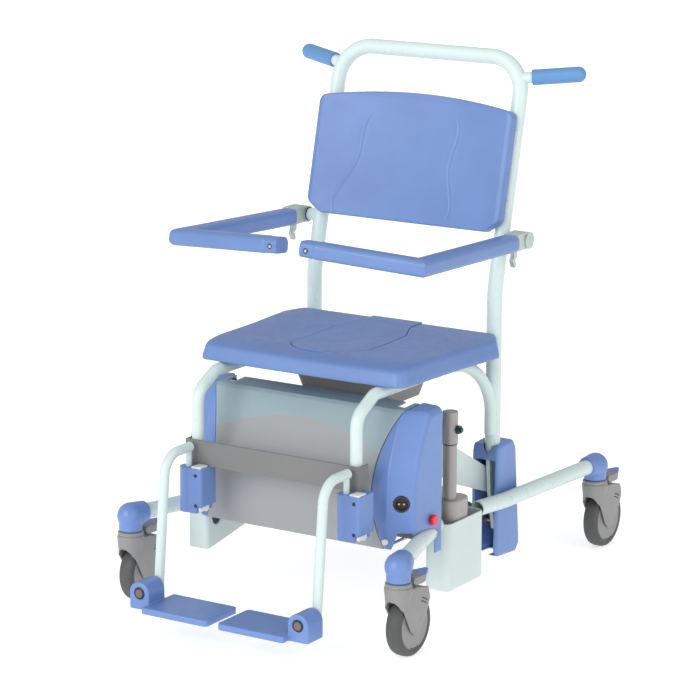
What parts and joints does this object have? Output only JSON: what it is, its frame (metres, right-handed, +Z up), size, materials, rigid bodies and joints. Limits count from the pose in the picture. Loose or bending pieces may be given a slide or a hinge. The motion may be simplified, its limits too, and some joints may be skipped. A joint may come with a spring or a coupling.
{
  "type": "height-adjustable shower commode chair",
  "caption": "Wheeled shower and commode chair with an electric parallel-arm lift, swing-up armrests, swing-away legrests, push hoop and braked swivel castors.",
  "frame": {"origin": "on the floor under the middle of the chair's bounding box", "axes": "+Z up, +Y towards the back of the chair, +X to the right seen from in front"},
  "size_m": [0.69, 1.1266, 1.097],
  "materials": {
    "blue_moulded": "satin moulded polyurethane",
    "blue_plastic": "semi-gloss moulded plastic",
    "blue_grip": "soft ribbed grip",
    "white_tube": "pale mint powder coat",
    "white_tub": "pale grey moulding",
    "panel": "two-tone satin grey",
    "band": "mid-grey powder coat",
    "castor_grey": "grey nylon",
    "tyre": "dark grey rubber",
    "steel": "brushed",
    "zinc": "grey cast metal",
    "column_grey": "warm grey anodised",
    "dark_plastic": "black moulded",
    "white_plastic": "white moulded",
    "red": "glossy",
    "pan": "taupe grey plastic",
    "frame_steel": "dark grey primer"
  },
  "bodies": {
    "base": {"base_frame": "frame_steel", "left_side_bracket": "white_tub", "actuator_tub": "white_tub", "castor_sockets": "blue_plastic", "front_leg_tubes": "white_tube", "rear_leg_tubes": "white_tube", "front_panel": "panel", "side_cover_left": "blue_plastic", "side_cover_right": "blue_plastic", "charging_socket": "dark_plastic", "cover_screws": "white_plastic", "battery_pack": "dark_plastic", "control_box": "dark_plastic", "front_pivot_pins": "steel"},
    "seat_carrier": {"back_hoop": "white_tube", "seat_tubes": "white_tube", "rear_cover_left": "blue_plastic", "rear_cover_right": "blue_plastic", "rear_pivot_pins": "steel", "seat": "blue_moulded", "pan_rails": "steel", "legrest_band": "band", "hinge_block_left": "blue_plastic", "hinge_block_right": "blue_plastic", "backrest": "blue_moulded", "backrest_clips": "zinc", "push_grips": "blue_grip"},
    "stop_button": {"stop_button": "red"},
    "lift_frame": {"upper_lift_frame": "white_tub"},
    "lower_arms": {"lower_arm_left": "steel", "lower_arm_right": "steel"},
    "lift_column": {"actuator_body": "column_grey"},
    "lift_piston": {"actuator_rod": "column_grey", "clevis_bolt": "dark_plastic"},
    "seat_lid": {"seat_lid": "blue_moulded"},
    "commode_pan": {"commode_pan": "pan"},
    "armrest_right": {"arm_pad_right": "blue_moulded", "arm_bracket_right": "zinc"},
    "armrest_lock_right": {"lock_lever_right": "zinc"},
    "legrest_right": {"legrest_tube_right": "white_tube"},
    "footplate_right": {"footplate_right": "blue_plastic"},
    "legrest_release_right": {"release_lever_right": "white_plastic"},
    "armrest_left": {"arm_pad_left": "blue_moulded", "arm_bracket_left": "zinc"},
    "armrest_lock_left": {"lock_lever_left": "zinc"},
    "legrest_left": {"legrest_tube_left": "white_tube"},
    "footplate_left": {"footplate_left": "blue_plastic"},
    "legrest_release_left": {"release_lever_left": "white_plastic"},
    "castor_front_right": {"castor_fork_front_right": "castor_grey"},
    "wheel_front_right": {"castor_wheel_front_right": "tyre"},
    "pedal_front_right": {"brake_pedal_front_right": "blue_plastic"},
    "castor_front_left": {"castor_fork_front_left": "castor_grey"},
    "wheel_front_left": {"castor_wheel_front_left": "tyre"},
    "pedal_front_left": {"brake_pedal_front_left": "blue_plastic"},
    "castor_rear_right": {"castor_fork_rear_right": "castor_grey"},
    "wheel_rear_right": {"castor_wheel_rear_right": "tyre"},
    "pedal_rear_right": {"brake_pedal_rear_right": "blue_plastic"},
    "castor_rear_left": {"castor_fork_rear_left": "castor_grey"},
    "wheel_rear_left": {"castor_wheel_rear_left": "tyre"},
    "pedal_rear_left": {"brake_pedal_rear_left": "blue_plastic"}
  },
  "joints": [
    {"name": "lift", "type": "hinge", "parent": "base", "child": "lift_frame", "pos_m": [0, -0.19525, 0.405], "axis": [1, 0, 0], "range_deg": [0, 62]},
    {"name": "seat_level", "type": "hinge", "parent": "lift_frame", "child": "seat_carrier", "pos_m": [0, 0.16475, 0.21], "axis": [1, 0, 0], "range_deg": [-62, 0]},
    {"name": "lower_link", "type": "hinge", "parent": "base", "child": "lower_arms", "pos_m": [0, -0.19525, 0.32], "axis": [1, 0, 0], "range_deg": [0, 62]},
    {"name": "column_tilt", "type": "hinge", "parent": "base", "child": "lift_column", "pos_m": [0.236, -0.06625, 0.075], "axis": [1, 0, 0], "range_deg": [0, 5.85]},
    {"name": "column_stroke", "type": "slide", "parent": "lift_column", "child": "lift_piston", "axis": [0, 0, 1], "range_m": [0, 0.1315]},
    {"name": "stop_press", "type": "slide", "parent": "base", "child": "stop_button", "axis": [-1, 0, 0], "range_m": [0, 0.003], "stiffness_N_per_m": 800},
    {"name": "lid_lift", "type": "slide", "parent": "seat_carrier", "child": "seat_lid", "axis": [0, 0, 1], "range_m": [0, 0.06]},
    {"name": "pan_slide", "type": "slide", "parent": "seat_carrier", "child": "commode_pan", "axis": [0, 1, 0], "range_m": [0, 0.3]},
    {"name": "armrest_right_swing", "type": "hinge", "parent": "seat_carrier", "child": "armrest_right", "pos_m": [0.267, 0.15975, 0.727], "axis": [-1, 0, 0], "range_deg": [0, 90]},
    {"name": "armrest_lock_right", "type": "hinge", "parent": "armrest_right", "child": "armrest_lock_right", "pos_m": [0.267, 0.12675, 0.715], "axis": [1, 0, 0], "range_deg": [0, 20], "stiffness_Nm_per_rad": 0.6},
    {"name": "legrest_right_swing", "type": "hinge", "parent": "seat_carrier", "child": "legrest_right", "pos_m": [0.186, -0.37225, 0.26], "axis": [0, 0, 1], "range_deg": [0, 40]},
    {"name": "footplate_right_flip", "type": "hinge", "parent": "legrest_right", "child": "footplate_right", "pos_m": [0.186, -0.51525, 0.086], "axis": [0, 1, 0], "range_deg": [0, 90]},
    {"name": "legrest_release_right", "type": "hinge", "parent": "seat_carrier", "child": "legrest_release_right", "pos_m": [0.218, -0.36125, 0.222], "axis": [1, 0, 0], "range_deg": [0, 12], "stiffness_Nm_per_rad": 0.3},
    {"name": "armrest_left_swing", "type": "hinge", "parent": "seat_carrier", "child": "armrest_left", "pos_m": [-0.267, 0.15975, 0.727], "axis": [-1, 0, 0], "range_deg": [0, 90]},
    {"name": "armrest_lock_left", "type": "hinge", "parent": "armrest_left", "child": "armrest_lock_left", "pos_m": [-0.267, 0.12675, 0.715], "axis": [1, 0, 0], "range_deg": [0, 20], "stiffness_Nm_per_rad": 0.6},
    {"name": "legrest_left_swing", "type": "hinge", "parent": "seat_carrier", "child": "legrest_left", "pos_m": [-0.186, -0.37225, 0.26], "axis": [0, 0, -1], "range_deg": [0, 40]},
    {"name": "footplate_left_flip", "type": "hinge", "parent": "legrest_left", "child": "footplate_left", "pos_m": [-0.186, -0.51525, 0.086], "axis": [0, -1, 0], "range_deg": [0, 90]},
    {"name": "legrest_release_left", "type": "hinge", "parent": "seat_carrier", "child": "legrest_release_left", "pos_m": [-0.154, -0.36125, 0.222], "axis": [1, 0, 0], "range_deg": [0, 12], "stiffness_Nm_per_rad": 0.3},
    {"name": "castor_swivel_front_right", "type": "hinge", "parent": "base", "child": "castor_front_right", "pos_m": [0.317, -0.39225, 0.175], "axis": [0, 0, 1], "continuous": true},
    {"name": "wheel_spin_front_right", "type": "hinge", "parent": "castor_front_right", "child": "wheel_front_right", "pos_m": [0.317, -0.35525, 0.0625], "axis": [1, 0, 0], "continuous": true},
    {"name": "brake_front_right", "type": "hinge", "parent": "castor_front_right", "child": "pedal_front_right", "pos_m": [0.317, -0.35875, 0.1525], "axis": [-1, 0, 0], "range_deg": [0, 9]},
    {"name": "castor_swivel_front_left", "type": "hinge", "parent": "base", "child": "castor_front_left", "pos_m": [-0.317, -0.39225, 0.175], "axis": [0, 0, 1], "continuous": true},
    {"name": "wheel_spin_front_left", "type": "hinge", "parent": "castor_front_left", "child": "wheel_front_left", "pos_m": [-0.317, -0.35525, 0.0625], "axis": [1, 0, 0], "continuous": true},
    {"name": "brake_front_left", "type": "hinge", "parent": "castor_front_left", "child": "pedal_front_left", "pos_m": [-0.317, -0.35875, 0.1525], "axis": [-1, 0, 0], "range_deg": [0, 9]},
    {"name": "castor_swivel_rear_right", "type": "hinge", "parent": "base", "child": "castor_rear_right", "pos_m": [0.286, 0.46375, 0.175], "axis": [0, 0, 1], "continuous": true},
    {"name": "wheel_spin_rear_right", "type": "hinge", "parent": "castor_rear_right", "child": "wheel_rear_right", "pos_m": [0.286, 0.50075, 0.0625], "axis": [1, 0, 0], "continuous": true},
    {"name": "brake_rear_right", "type": "hinge", "parent": "castor_rear_right", "child": "pedal_rear_right", "pos_m": [0.286, 0.49725, 0.1525], "axis": [-1, 0, 0], "range_deg": [0, 9]},
    {"name": "castor_swivel_rear_left", "type": "hinge", "parent": "base", "child": "castor_rear_left", "pos_m": [-0.286, 0.46375, 0.175], "axis": [0, 0, 1], "continuous": true},
    {"name": "wheel_spin_rear_left", "type": "hinge", "parent": "castor_rear_left", "child": "wheel_rear_left", "pos_m": [-0.286, 0.50075, 0.0625], "axis": [1, 0, 0], "continuous": true},
    {"name": "brake_rear_left", "type": "hinge", "parent": "castor_rear_left", "child": "pedal_rear_left", "pos_m": [-0.286, 0.49725, 0.1525], "axis": [-1, 0, 0], "range_deg": [0, 9]}
  ],
  "couplings": [
    {"joint": "seat_level", "follows": "lift", "ratio": -1},
    {"joint": "lower_link", "follows": "lift", "ratio": 1},
    {"joint": "column_tilt", "follows": "lift", "ratio": 0.09347},
    {"joint": "column_stroke", "follows": "lift", "m_per_rad": 0.12103}
  ]
}
